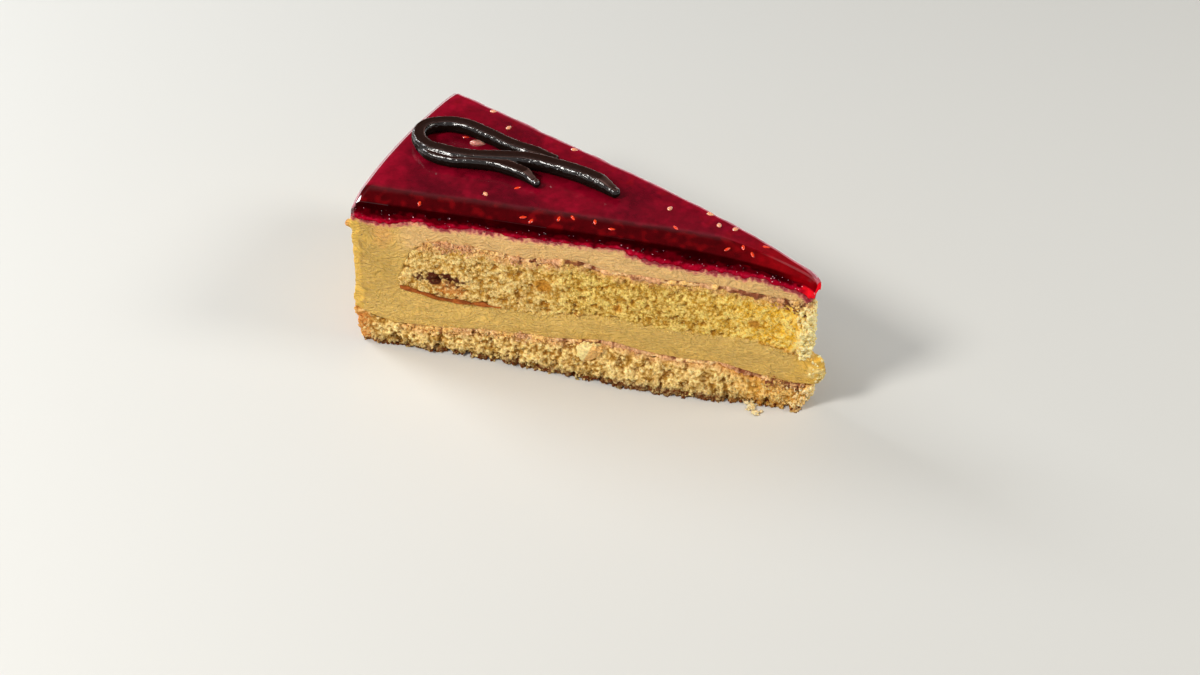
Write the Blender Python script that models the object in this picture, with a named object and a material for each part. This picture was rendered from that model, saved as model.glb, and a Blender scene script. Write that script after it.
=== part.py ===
"""A slice of layered vanilla raspberry cake, one fourteenth of a round cake.

From the bottom up: a thin sponge base, a brushing of raspberry jam, vanilla cream that also
wraps the outer end of the slice, a second sponge with jam on it inside the cream, a raspberry
glaze with seeds, and a piped chocolate loop. The slice stands on its base, the point towards +X.
Sizes below are in millimetres.
"""

import math

import bmesh
import bpy
from mathutils import Matrix, Vector, noise

MM = 0.001

# The round cake and the slice cut from it
CAKE_RADIUS = 135.0
SLICES_IN_CAKE = 14
HALF_ANGLE = math.pi / SLICES_IN_CAKE
APEX_X = 68.3
TIP_WIDTH = 1.2
TIP_REACH = 30.0
RIM_FLAT = 1.1

# The layers lie this far apart, so that none overlaps another
GAP = 0.35

# Mesh stations: one every STATION along the slice, ACROSS of them from cut to cut
STATION = 5.0
ACROSS = 6

# Heights along the front cut, as (distance from the apex, height)
BASE_TOP = [(1, 8.0), (12, 7.0), (20, 8.2), (30, 10.4), (40, 9.4), (50, 9.8), (62, 11.8), (77, 9.9),
            (97, 9.3), (112, 7.4), (120, 6.8), (127, 8.4), (135, 12.4)]
SPONGE_FOOT = [(3, 18.2), (10, 19.1), (20, 21.5), (40, 21.1), (50, 21.2), (60, 22.3), (82, 19.9), (91, 20.3),
               (100, 19.1), (111, 19.9), (122, 22.3)]
SPONGE_TOP = [(3, 35.8), (18, 36.4), (32, 37.5), (50, 36.6), (63, 37.0), (71, 38.9), (85, 36.8), (97, 38.0),
              (108, 38.4), (115, 37.2), (119, 35.0)]
GLAZE_FOOT = [(4, 38.6), (9, 42.0), (14, 42.2), (18, 44.5), (26, 43.5), (32, 44.6), (39, 43.5),
              (48, 44.4), (56, 45.6), (59, 47.4), (67, 46.5), (90, 46.0), (99, 46.8), (110, 45.1),
              (117, 46.7), (123, 44.3), (128, 44.3), (136, 45.5)]
BACK_WANDER = 0.8

# The sponges
SPONGE_END = 122.0
SPONGE_END_LEAN = 4.0
SPONGE_TIP = 5.0
BASE_END = 136.2
BASE_END_LEAN = 2.4
BASE_TIP = 3.5
BASE_TIP_FOOT = 3.0
FOOT_FLARE = 3.7
CRUMB = 0.55
PORES = [
    # distance from the apex, height, half length, half height, half depth
    (109.5, 26.6, 4.6, 1.3, 1.6),
    (80.5, 30.0, 2.2, 1.2, 1.1),
    (59.2, 25.8, 1.2, 1.6, 1.1),
]

# The jam brushed on each sponge
JAM = 1.1
BASE_JAM_END = 121.0
SPONGE_JAM_END = 115.0
JAM_TIP = 6.0

# The cream
CREAM_TOP_TIP = 6.5
CREAM_FILLING_TIP = 1.5
CREAM_LIP = 1.1
CREAM_SWELL = 0.45
BEAD = (135.6, 41.5, 1.5)
BEAD_ACROSS = -0.97

# The glaze
GLAZE_HEIGHT = 51.2
GLAZE_TIP = 5.2
TIP_ROUND = 4.0
TIP_DROP = 1.6
TIP_SETTLE = 6.0
SETTLE_REACH = 70.0
SHOULDER = 8.0
SHOULDER_DROP = (1.5, 0.3)
RIM_ROUND = 5.0
RIM_DROP = 3.8
SEED = (0.95, 0.6, 0.5)
SEEDS = [
    # distance from the apex, offset from the middle line, turn in degrees
    (118, 24.6, 30), (109.3, 19, 75), (87.8, 17.6, 20), (50.7, 4.2, 80), (36.1, 4.1, 110),
    (31.7, 4.9, 60), (40.5, 7.4, 10), (99.8, -12.3, 140), (92.4, -5.8, 50), (116, -23.1, 105),
    (86.6, -16.4, 30), (84.2, -16.6, 80), (77.1, -12.9, 100), (73.7, -11.1, 140), (67.3, -10, 114),
    (62, -10.7, 15), (46, -2.8, 150), (30.3, -3.4, 60), (26.8, -0.7, 114), (21.7, 2.6, 20),
    (23.8, -1.7, 130), (117.1, 9.4, 20),
]
FLAKE_PLACE = (112.7, 8.2, 12)
FLAKE = (2.5, 1.2, 0.75)

# The piped chocolate loop: the paths of its two threads in plan as (x, y), and its section, the
# shoulder and the edge of the flat top as shares of the width and height
LOOP_PATH = [(-18.6, 7.9), (-25, 7.7), (-33.5, 8.4), (-42, 10.1), (-49.5, 11), (-55.5, 9.3), (-59, 5.2),
             (-58.4, 0.9), (-54.6, -2.5), (-48.5, -3.1), (-41, -1.8), (-33, 1.2), (-25.5, 3.9), (-17.5, 4.7),
             (-9.5, 4.4), (-3, 3.4), (2.5, 1.9)]
TAIL_PATH = [(-56.6, -2.4), (-51.8, -4.8), (-46, -4.9), (-40, -3), (-34, -1.3), (-28.5, -1.2), (-23.5, -1.8),
             (-18.9, -3.6)]
THREAD_WIDTH = 4.3
THREAD_HEIGHT = 3.8
THREAD_EDGE = (0.28, 1.0)
THREAD_SHOULDER = (0.43, 0.85)
THREAD_ENDS = (0.75, 0.45)
THREAD_SWELL = 0.12
THREAD_STEP = 2.4
THREAD_TAPER = 5.0
TAIL_SIZE = 0.87
TAIL_LIFT = 0.07

LAYER_COLOURS = {
    # linear colour and roughness
    "base_sponge": ((0.66, 0.47, 0.18), 0.9),
    "base_jam": ((0.36, 0.13, 0.09), 0.6),
    "vanilla_cream": ((0.72, 0.52, 0.22), 0.5),
    "upper_sponge": ((0.72, 0.52, 0.16), 0.9),
    "upper_jam": ((0.36, 0.13, 0.09), 0.6),
    "raspberry_glaze": ((0.25, 0.004, 0.02), 0.08),
    "chocolate_loop": ((0.03, 0.013, 0.009), 0.3),
}


def clear_scene():
    for thing in list(bpy.data.objects):
        bpy.data.objects.remove(thing, do_unlink=True)
    for group in list(bpy.data.collections):
        bpy.data.collections.remove(group)


def new_collection(name):
    group = bpy.data.collections.new(name)
    bpy.context.scene.collection.children.link(group)
    return group


def food_material(name):
    colour, roughness = LAYER_COLOURS[name]
    material = bpy.data.materials.new(name)
    material.use_nodes = True
    shader = material.node_tree.nodes["Principled BSDF"]
    shader.inputs["Base Color"].default_value = (*colour, 1.0)
    shader.inputs["Roughness"].default_value = roughness
    shader.inputs["Metallic"].default_value = 0.0
    return material


def add_piece(name, mesh, group):
    piece = bpy.data.objects.new(name, mesh)
    mesh.materials.clear()
    mesh.materials.append(food_material(name))
    group.objects.link(piece)
    return piece


# Heights and places that all the layers share


def height_at(line, r):
    """Height on a line of (distance, height) points, eased between them."""
    if r <= line[0][0]:
        return line[0][1]
    for (r0, z0), (r1, z1) in zip(line, line[1:]):
        if r <= r1:
            share = (r - r0) / (r1 - r0)
            share = share * share * (3 - 2 * share)
            return z0 + (z1 - z0) * share
    return line[-1][1]


def layer_height(line, r, v, seed):
    """The line's height at the front cut (v = -1), wandering off it towards the back cut (v = 1)."""
    wander = noise.noise(Vector((r / 22, v, seed)))
    return height_at(line, r) + BACK_WANDER * wander * (1 + v) / 2


def base_top(r, v):
    return layer_height(BASE_TOP, r, v, 3.1)


def sponge_foot(r, v):
    return layer_height(SPONGE_FOOT, r, v, 7.3)


def sponge_top(r, v):
    return layer_height(SPONGE_TOP, r, v, 12.7)


def glaze_foot(r, v):
    return layer_height(GLAZE_FOOT, r, v, 19.9)


def rounding(distance, reach):
    """1 at an edge, falling on a quarter circle to 0 at the reach from it."""
    inside = min(max(1 - distance / reach, 0), 1)
    return 1 - math.sqrt(1 - inside * inside)


def glaze_top(r, v):
    settled = TIP_SETTLE * max(0, 1 - (r - 4) / SETTLE_REACH) ** 2.6
    from_cut = r * math.sin((1 - abs(v)) * HALF_ANGLE)
    shoulder = SHOULDER_DROP[v > 0] * max(0, 1 - from_cut / SHOULDER) ** 2
    rim = RIM_DROP * rounding(CAKE_RADIUS - r, RIM_ROUND)
    tip = TIP_DROP * rounding(r - GLAZE_TIP, TIP_ROUND)
    return GLAZE_HEIGHT - settled - shoulder - rim - tip


def jam_cover(r, end):
    """1 where jam lies between sponge and cream, fading to 0 past its end."""
    share = min(max((end + 3 - r) / 4, 0), 1)
    return share * share * (3 - 2 * share)


def place(r, v, z, swell=0.0):
    """A point at distance r from the apex, v from -1 (front cut) to 1 (back cut), pushed out of its cut."""
    angle = v * HALF_ANGLE
    widening = v * TIP_WIDTH * max(0, 1 - r / TIP_REACH) ** 2
    r -= RIM_FLAT * (1 - v * v) * (r / CAKE_RADIUS) ** 6
    x = APEX_X - r * math.cos(angle)
    y = r * math.sin(angle) + widening
    if abs(v) > 0.999:
        side = math.copysign(1, v)
        x += swell * math.sin(HALF_ANGLE)
        y += swell * side * math.cos(HALF_ANGLE)
    return Vector((x, y, z))


# Blocks: a subdivided box whose vertices are then moved to a layer's shape


def box_block(counts):
    """A closed unit box with its faces divided counts times along X, Y and Z."""
    bm = bmesh.new()
    bmesh.ops.create_cube(bm, size=1.0, matrix=Matrix.Translation((0.5, 0.5, 0.5)))
    for axis, count in enumerate(counts):
        along = [e for e in bm.edges if abs((e.verts[0].co - e.verts[1].co)[axis]) > 0.5]
        if count > 1:
            bmesh.ops.subdivide_edges(bm, edges=along, cuts=count - 1)
    return bm


def shaped_block(name, counts, shape, group):
    """A block whose vertex at steps (i, j, k) goes to shape(i, v, k), v being -1 to 1 across the slice."""
    bm = box_block(counts)
    for vertex in bm.verts:
        i, j, k = (round(c * n) for c, n in zip(vertex.co, counts))
        v = math.sin((2 * j / counts[1] - 1) * math.pi / 2)
        vertex.co = shape(i, v, k) * MM
    bmesh.ops.recalc_face_normals(bm, faces=bm.faces)
    bmesh.ops.triangulate(bm, faces=bm.faces)
    mesh = bpy.data.meshes.new(name)
    bm.to_mesh(mesh)
    bm.free()
    return add_piece(name, mesh, group)


def stations(tip, end):
    """Distances from the apex of a layer's mesh stations, the same in all layers between tip and end."""
    count = int(CAKE_RADIUS / STATION)
    inner = [STATION * n for n in range(2, count + 1)]
    return [tip] + [r for r in inner if tip + 2 < r < end - 1.5] + [end]


def crumb(r, z, v, seed, size=6.0):
    return CRUMB * noise.noise(Vector((r / size, z / size, v * 4 + seed)))


# The layers, from the bottom up


def make_base_sponge(group):
    along = stations(BASE_TIP, BASE_END)
    levels = 4

    def shape(i, v, k):
        share = k / levels
        r = along[i]
        if i == len(along) - 1:
            r -= BASE_END_LEAN * (1 - share) + crumb(v * 30, share * 12, 0, 5)
        if i == 0:
            r += v * v + BASE_TIP_FOOT * (1 - share) ** 1.5 + crumb(share * 10, v * 3, 0, 9, 2.0)
        flare = FOOT_FLARE if v < 0 else FOOT_FLARE / 2
        swell = flare * (1 - share) * math.exp(-(((r - 48) / 34) ** 2)) + crumb(r, share * 10, v, 1)
        return place(r, v, base_top(r, v) * share, swell)

    return shaped_block("base_sponge", (len(along) - 1, ACROSS, levels), shape, group)


def make_jam(name, tip, end, under, group):
    """A thin brushing of jam on a sponge, under(r, v) high."""
    along = stations(tip, end)

    def shape(i, v, k):
        r = along[i]
        thickness = JAM * jam_cover(r, end)
        return place(r, v, under(r, v) + GAP + k * thickness, -0.25)

    return shaped_block(name, (len(along) - 1, ACROSS, 1), shape, group)


def make_upper_sponge(group):
    along = stations(SPONGE_TIP, SPONGE_END - SPONGE_END_LEAN)
    levels = 5

    def shape(i, v, k):
        share = k / levels
        r = along[i]
        if i == len(along) - 1:
            r += SPONGE_END_LEAN * (1 - share * share)
        if i == 0:
            r += v * v + crumb(share * 16, v * 3, 0, 4, 2.5)
        low, high = sponge_foot(r, v), sponge_top(r, v)
        return place(r, v, low + (high - low) * share, crumb(r, low + 17 * share, v, 2) - 0.1)

    piece = shaped_block("upper_sponge", (len(along) - 1, ACROSS, levels), shape, group)
    cut_pores(piece)
    return piece


def cut_pores(sponge):
    """The large pores that the knife opened in the front cut."""
    cutters = new_collection("pore_cutters")
    for r, z, length, height, depth in PORES:
        bpy.ops.mesh.primitive_ico_sphere_add(subdivisions=1, radius=MM)
        cutter = bpy.context.object
        cutter.matrix_world = (
            Matrix.Translation(place(r, -1.0, z) * MM)
            @ Matrix.Rotation(HALF_ANGLE, 4, "Z")
            @ Matrix.Diagonal((length, depth, height, 1))
        )
        for home in list(cutter.users_collection):
            home.objects.unlink(cutter)
        cutters.objects.link(cutter)
        apply_boolean(sponge, cutter, "DIFFERENCE")


def apply_boolean(piece, other, operation):
    """Cuts or joins another mesh object into a piece, applies it, and removes the other."""
    modifier = piece.modifiers.new("boolean", "BOOLEAN")
    modifier.operation = operation
    modifier.solver = "EXACT"
    modifier.object = other
    bpy.context.view_layer.update()
    evaluated = piece.evaluated_get(bpy.context.evaluated_depsgraph_get())
    mesh = bpy.data.meshes.new_from_object(evaluated)
    piece.modifiers.clear()
    piece.data = mesh
    bpy.data.objects.remove(other, do_unlink=True)


def cream_section(v):
    """Pairs of points (r, z), outer and inner, along the cream from the top of the point, round the
    outer end of the sponge and back to the point under it."""
    pairs = []
    near_end = SPONGE_END - SPONGE_END_LEAN
    top = stations(CREAM_TOP_TIP, near_end)[:-1]
    for r in top:
        cover = jam_cover(r, SPONGE_JAM_END)
        ceiling = sponge_top(r, v) + GAP + cover * (GAP + JAM)
        pairs.append(((r, glaze_foot(r, v) - GAP), (r, ceiling)))

    def floor(r):
        cover = jam_cover(r, BASE_JAM_END)
        return base_top(r, v) + GAP + cover * (GAP + JAM)

    # round the sponge's outer end: across the top, down the wall and back along the bottom
    rim_r = CAKE_RADIUS
    beyond = [top[-1] + STATION * n for n in (1, 2, 3)]
    outer = [(r, glaze_foot(r, v) - GAP) for r in beyond + [rim_r]]
    for share in (0.86, 0.64, 0.42, 0.24, 0.1):
        z = floor(rim_r) + (glaze_foot(rim_r, v) - floor(rim_r)) * share
        lip = CREAM_LIP * math.exp(-(((share - 0.1) / 0.09) ** 2))
        dent = 0.3 * noise.noise(Vector((z / 9, v * 3, 2.2)))
        outer.append((rim_r + lip + dent, z))
    outer += [(r, floor(r)) for r in [rim_r + 0.4, BASE_END] + beyond[::-1]]
    low, high = sponge_foot(SPONGE_END, v), sponge_top(SPONGE_END, v)
    for n, point in enumerate(outer):
        share = 1 - n / (len(outer) - 1)
        r = SPONGE_END - SPONGE_END_LEAN * share * share
        z = low - GAP + (high - low + 2 * GAP) * share
        pairs.append((point, (r + GAP + 0.1, z)))
    for r in reversed(stations(CREAM_FILLING_TIP, near_end)[:-1]):
        pairs.append(((r, floor(r)), (r, sponge_foot(r, v) - GAP)))
    return pairs


def make_vanilla_cream(group):
    sections = {}
    depth = 3
    steps = len(cream_section(0.0)) - 1

    def shape(i, v, k):
        key = round(v, 4)
        if key not in sections:
            sections[key] = cream_section(v)
        (outer_r, outer_z), (inner_r, inner_z) = sections[key][i]
        share = k / depth
        r = inner_r + (outer_r - inner_r) * share
        z = inner_z + (outer_z - inner_z) * share
        if i in (0, steps):
            r += v * v * 1.5 - 1.2 * math.sin(share * math.pi)
        bulge = CREAM_SWELL * math.sin(share * math.pi) * math.exp(-((z - 16) / 20) ** 2)
        return place(r, v, z, bulge + 0.25 * noise.noise(Vector((r / 9, z / 9, v))))

    cream = shaped_block("vanilla_cream", (steps, ACROSS, depth), shape, group)
    r, z, radius = BEAD
    centre = place(r, BEAD_ACROSS, z) * MM
    bpy.ops.mesh.primitive_ico_sphere_add(subdivisions=1, radius=radius * MM, location=centre)
    apply_boolean(cream, bpy.context.object, "UNION")
    return cream


def make_raspberry_glaze(group):
    along = stations(GLAZE_TIP, CAKE_RADIUS)[:-1]
    along[1:1] = [GLAZE_TIP + 2.0]
    along += [CAKE_RADIUS - RIM_ROUND * share for share in (0.56, 0.24, 0.06, 0)]
    levels = 2

    def shape(i, v, k):
        r = along[i]
        low, high = glaze_foot(r, v), glaze_top(r, v)
        z = low + (high - low) * k / levels
        if i == len(along) - 1 and k == 1:
            r += 0.3
        if i == 0:
            r += v * v * 0.8
        swell = 0.15 + 0.2 * noise.noise(Vector((r / 8, v, 4.4)))
        return place(r, v, z, swell if k < levels else swell - 0.25)

    glaze = shaped_block("raspberry_glaze", (len(along) - 1, ACROSS, levels), shape, group)
    set_in_seeds(glaze)
    return glaze


def set_in_seeds(glaze):
    """Raspberry seeds and one pale flake, half sunk in the glaze's top and fused to it."""
    grains = [(r, offset, turn, SEED) for r, offset, turn in SEEDS]
    grains.append((*FLAKE_PLACE, FLAKE))
    bm = bmesh.new()
    for r, offset, turn, size in grains:
        v = math.asin(offset / r) / HALF_ANGLE
        centre = place(r, v, glaze_top(r, v)) * MM
        centre.z -= size[2] * MM * 0.25
        matrix = (
            Matrix.Translation(centre)
            @ Matrix.Rotation(math.radians(turn), 4, "Z")
            @ Matrix.Diagonal((*size, 1))
        )
        bmesh.ops.create_uvsphere(bm, u_segments=6, v_segments=4, radius=MM, matrix=matrix)
    mesh = bpy.data.meshes.new("seeds")
    bm.to_mesh(mesh)
    bm.free()
    seeds = bpy.data.objects.new("seeds", mesh)
    bpy.context.scene.collection.objects.link(seeds)
    apply_boolean(glaze, seeds, "UNION")


# The chocolate loop: two piped threads with a flat upper face, run into one


def smooth_path(points, step):
    """Points at even steps along a smooth curve through the given ones, as (x, y)."""
    dense = []
    ends = [points[0]] + points + [points[-1]]
    for p0, p1, p2, p3 in zip(ends, ends[1:], ends[2:], ends[3:]):
        for n in range(12):
            t = n / 12
            dense.append(tuple(
                0.5 * (2 * b + (c - a) * t + (2 * a - 5 * b + 4 * c - d) * t * t
                       + (3 * b - a - 3 * c + d) * t ** 3)
                for a, b, c, d in zip(p0, p1, p2, p3)))
    dense.append(points[-1])
    lengths = [0.0]
    for a, b in zip(dense, dense[1:]):
        lengths.append(lengths[-1] + math.dist(a, b))
    count = round(lengths[-1] / step)
    even = []
    for n in range(count + 1):
        target = lengths[-1] * n / count
        i = max(1, next(i for i, d in enumerate(lengths) if d >= target - 1e-9))
        share = (target - lengths[i - 1]) / (lengths[i] - lengths[i - 1])
        even.append(tuple(a + (b - a) * share for a, b in zip(dense[i - 1], dense[i])))
    return even


def thread_section():
    """The thread's section as a closed curve: flat on top, round below, its origin at the bottom."""
    curve = bpy.data.curves.new("thread_section", "CURVE")
    curve.dimensions = "2D"
    spline = curve.splines.new("POLY")
    corners = [(THREAD_WIDTH * x, THREAD_HEIGHT * y) for x, y in (THREAD_SHOULDER, THREAD_EDGE)]
    corners += [(-x, y) for x, y in reversed(corners)]
    for n in range(8):
        angle = math.pi * (1 + n / 7)
        x = THREAD_WIDTH / 2 * math.cos(angle)
        y = THREAD_HEIGHT * (0.6 + 0.6 * math.sin(angle))
        corners.append((x, max(y, 0)))
    spline.points.add(len(corners) - 1)
    for point, (x, y) in zip(spline.points, corners):
        point.co = (x * MM, y * MM, 0, 1)
    spline.use_cyclic_u = True
    section = bpy.data.objects.new("thread_section", curve)
    bpy.context.scene.collection.objects.link(section)
    return section


def piped_thread(name, points, section, size):
    """A thread swept along points at a share of the section's size, thinner at both ends."""
    curve = bpy.data.curves.new(name, "CURVE")
    curve.dimensions = "3D"
    curve.twist_mode = "Z_UP"
    curve.bevel_mode = "OBJECT"
    curve.bevel_object = section
    curve.use_fill_caps = True
    spline = curve.splines.new("POLY")
    path = smooth_path(points, THREAD_STEP)
    spline.points.add(len(path) - 1)
    rest = GLAZE_HEIGHT + GAP
    for n, (point, (x, y)) in enumerate(zip(spline.points, path)):
        from_start = n * THREAD_STEP / THREAD_TAPER
        from_end = (len(path) - 1 - n) * THREAD_STEP / THREAD_TAPER
        start_width = THREAD_ENDS[0] + (1 - THREAD_ENDS[0]) * math.sqrt(min(from_start, 1))
        end_width = THREAD_ENDS[1] + (1 - THREAD_ENDS[1]) * math.sqrt(min(from_end, 1))
        uneven = 1 + THREAD_SWELL * n / len(path) + 0.06 * noise.noise(Vector((n / 3, 1.7, 0)))
        point.co = (x * MM, y * MM, rest * MM, 1)
        point.radius = size * uneven * min(start_width, end_width)
    thread = bpy.data.objects.new(name, curve)
    bpy.context.scene.collection.objects.link(thread)
    bpy.context.view_layer.update()
    mesh = bpy.data.meshes.new_from_object(thread.evaluated_get(bpy.context.evaluated_depsgraph_get()))
    bpy.data.objects.remove(thread, do_unlink=True)
    bm = bmesh.new()
    bm.from_mesh(mesh)
    bmesh.ops.remove_doubles(bm, verts=bm.verts, dist=0.00001)
    bmesh.ops.recalc_face_normals(bm, faces=bm.faces)
    bmesh.ops.triangulate(bm, faces=bm.faces)
    bm.to_mesh(mesh)
    bm.free()
    return mesh


def make_chocolate_loop(group):
    section = thread_section()
    loop = add_piece("chocolate_loop", piped_thread("loop_thread", LOOP_PATH, section, 1.0), group)
    tail_mesh = piped_thread("tail_thread", TAIL_PATH, section, TAIL_SIZE)
    tail_mesh.transform(Matrix.Translation((0, 0, TAIL_LIFT * MM)))
    tail = bpy.data.objects.new("tail_thread", tail_mesh)
    bpy.context.scene.collection.objects.link(tail)
    apply_boolean(loop, tail, "UNION")
    bpy.data.objects.remove(section, do_unlink=True)
    loop.data.materials.clear()
    loop.data.materials.append(food_material("chocolate_loop"))
    return loop


def centre_on_origin(group):
    """Puts the middle of the slice's base over the origin."""
    corners = [v.co for piece in group.objects for v in piece.data.vertices]
    middle = [(min(c[axis] for c in corners) + max(c[axis] for c in corners)) / 2 for axis in (0, 1)]
    shift = Vector((-middle[0], -middle[1], 0))
    for piece in group.objects:
        piece.data.transform(Matrix.Translation(shift))
    return shift


def main():
    clear_scene()
    cake = new_collection("raspberry_cake_slice")
    make_base_sponge(cake)
    make_jam("base_jam", JAM_TIP, BASE_JAM_END, base_top, cake)
    make_vanilla_cream(cake)
    make_upper_sponge(cake)
    make_jam("upper_jam", JAM_TIP + 1, SPONGE_JAM_END, sponge_top, cake)
    make_raspberry_glaze(cake)
    make_chocolate_loop(cake)
    shift = centre_on_origin(cake)
    print("slice moved by", [round(c / MM, 3) for c in shift])
    for piece in cake.objects:
        print(piece.name, "triangles", len(piece.data.polygons))


main()
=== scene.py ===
"""The looks of a slice of layered vanilla raspberry cake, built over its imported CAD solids.

The sections follow the cake as it is put together, from the base up. Sizes are in millimetres
unless a name says otherwise, and a distance r is measured from the point of the whole cake.
"""

import math
import random

import bmesh
import bpy
import numpy as np
from mathutils import Matrix, Vector, noise
from mathutils.bvhtree import BVHTree


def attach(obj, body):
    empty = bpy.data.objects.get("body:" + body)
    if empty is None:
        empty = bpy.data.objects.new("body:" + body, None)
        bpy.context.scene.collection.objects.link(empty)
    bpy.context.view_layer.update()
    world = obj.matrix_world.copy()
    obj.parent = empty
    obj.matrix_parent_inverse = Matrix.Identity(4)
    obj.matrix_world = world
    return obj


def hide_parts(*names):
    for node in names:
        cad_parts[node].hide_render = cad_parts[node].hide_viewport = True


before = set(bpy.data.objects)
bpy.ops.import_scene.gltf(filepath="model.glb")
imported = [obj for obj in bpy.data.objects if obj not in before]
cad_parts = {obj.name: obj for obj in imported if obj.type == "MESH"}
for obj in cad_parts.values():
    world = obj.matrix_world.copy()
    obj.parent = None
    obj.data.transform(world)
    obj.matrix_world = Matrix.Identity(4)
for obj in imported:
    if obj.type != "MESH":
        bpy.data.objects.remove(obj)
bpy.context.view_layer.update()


# Base sponge
# The thin vanilla sponge that the slice stands on. Its cut faces are open, loose crumb, torn
# outwards along the foot, and the baked skin is left along the underside and the outer edge.

MM = 0.001
CAKE_RADIUS = 135.0
HALF_ANGLE = math.pi / 14
APEX_X = 67.75
CLOSE_GAP = 0.33
SHOWN_AT_CUT = 0.97

SPONGE_FACE = 0.4
BASE_TOP = ([0, 70, 135], [6.8, 9.6, 11])
FOOT_HIGH = 4.5
SKIN_HIGH = 2.2
BASE_CRUMB = (182, 138, 58)
BASE_IVORY_AND_HIGHLIGHT = (250, 222, 156)
BASE_PIT_SHADE = (138, 92, 26)
PALE_CRUMB = (255, 232, 186)
BAKED_SKIN = (104, 50, 14)
OUTER_CRUST = (218, 146, 76)
SOAKED_CRUMB = (220, 168, 116)
BASE_CRUMBS = 6000
POINT_CRUMBS = 150
POINT_GLOW_PAINTED = (232, 170, 72)


def linear(colour):
    """An 8-bit screen colour as linear light."""
    shares = [c / 255 for c in colour]
    return [s / 12.92 if s < 0.04 else ((s + 0.055) / 1.055) ** 2.4 for s in shares]


def new_piece(bm, name):
    """A finished bmesh as a smooth piece of its own."""
    mesh = bpy.data.meshes.new(name)
    bm.to_mesh(mesh)
    bm.free()
    mesh.shade_smooth()
    piece = bpy.data.objects.new(name, mesh)
    bpy.context.scene.collection.objects.link(piece)
    return piece


def apply_modifiers(piece):
    """Makes a piece's modifiers part of its mesh."""
    bpy.context.view_layer.update()
    evaluated = piece.evaluated_get(bpy.context.evaluated_depsgraph_get())
    mesh = bpy.data.meshes.new_from_object(evaluated)
    piece.modifiers.clear()
    piece.data = mesh
    mesh.shade_smooth()


def wrap_evenly(piece, face):
    """Turns a piece into one closed skin of small even faces."""
    remesh = piece.modifiers.new("even_faces", "REMESH")
    remesh.mode = "VOXEL"
    remesh.voxel_size = face * MM
    apply_modifiers(piece)


def even_copy(node, name, face):
    """A copy of a CAD solid, wrapped in small even faces."""
    bm = bmesh.new()
    bm.from_mesh(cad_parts[node].data)
    bmesh.ops.remove_doubles(bm, verts=bm.verts, dist=1e-6)
    piece = new_piece(bm, name)
    wrap_evenly(piece, face)
    return piece


def skin(piece):
    """The points of a piece's skin in mm, and their normals."""
    mesh = piece.data
    points = np.empty(len(mesh.vertices) * 3, np.float32)
    mesh.vertices.foreach_get("co", points)
    normals = np.array([n.vector for n in mesh.vertex_normals], np.float32)
    return points.reshape(-1, 3) / MM, normals


def move_skin(piece, points):
    piece.data.vertices.foreach_set("co", (points * MM).astype(np.float32).ravel())
    piece.data.update()


def polar(points):
    """Distance r from the cake's point, and place v from side to side: -1 front cut, 1 back cut."""
    away = APEX_X - points[:, 0]
    return np.hypot(away, points[:, 1]), np.arctan2(points[:, 1], away) / HALF_ANGLE


def behind_cut(r, v):
    """Depth behind the nearer cut."""
    return r * np.sin((1 - np.minimum(np.abs(v), 1)) * HALF_ANGLE)


def field(points, size, seed, basis="PERLIN_ORIGINAL", stretch=(1, 1, 1)):
    """Noise with lumps of a size in mm, at each point."""
    moved = points / (np.array(stretch) * size) + np.array([17.3, 5.9, 11.1]) * seed
    return np.array([noise.noise(p, noise_basis=basis) for p in moved.tolist()])


def ramp(values, low, high):
    share = np.clip((values - low) / (high - low), 0, 1)
    return share * share * (3 - 2 * share)


def plain(colour, points):
    """One screen colour for every point, as linear light."""
    return np.tile(linear(colour), (len(points), 1))


def tinted(tints, colour, share):
    """The tints, mixed towards a screen colour by a share at each point."""
    return tints + (np.array(linear(colour)) - tints) * np.clip(share, 0, 1)[:, None]


def paint(piece, tints):
    layer = piece.data.color_attributes.new("tint", "FLOAT_COLOR", "POINT")
    colours = np.ones((len(tints), 4), np.float32)
    colours[:, :3] = tints
    layer.data.foreach_set("color", colours.ravel())


def cad_tree(node):
    """A CAD node's skin, to measure to."""
    bm = bmesh.new()
    bm.from_mesh(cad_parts[node].data)
    tree = BVHTree.FromBMesh(bm)
    bm.free()
    return tree


def nearness(points, node, reach):
    """1 on a CAD node's skin, fading to 0 at the reach in mm."""
    tree = cad_tree(node)
    distances = [tree.find_nearest(p)[3] for p in (points * MM).tolist()]
    return np.clip(1 - np.array(distances) / (reach * MM), 0, 1)


def new_material(name, roughness):
    material = bpy.data.materials.new(name)
    material.use_nodes = True
    shader = material.node_tree.nodes["Principled BSDF"]
    shader.inputs["Roughness"].default_value = roughness
    return material, shader


def add_node(owner, kind, **settings):
    """A node of a material or of the room; a setting is a socket's value or else a property."""
    node = owner.node_tree.nodes.new(kind)
    for name, value in settings.items():
        if name in node.inputs:
            node.inputs[name].default_value = value
        else:
            setattr(node, name, value)
    return node


def join(owner, output, socket):
    owner.node_tree.links.new(output, socket)


def add_noise(material, **settings):
    """Noise that is fixed to the piece's own coordinates."""
    texture = add_node(material, "ShaderNodeTexNoise", **settings)
    place = add_node(material, "ShaderNodeTexCoord").outputs["Object"]
    join(material, place, texture.inputs["Vector"])
    return texture


def stretched(owner, value, given, wanted):
    """A node's output, stretched from a given range of values to the wanted one."""
    node = add_node(owner, "ShaderNodeMapRange")
    for socket, limit in zip(("From Min", "From Max", "To Min", "To Max"), (*given, *wanted)):
        node.inputs[socket].default_value = limit
    join(owner, value, node.inputs["Value"])
    return node.outputs["Result"]


def painted_tint(material):
    return add_node(material, "ShaderNodeVertexColor", layer_name="tint").outputs["Color"]


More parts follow.
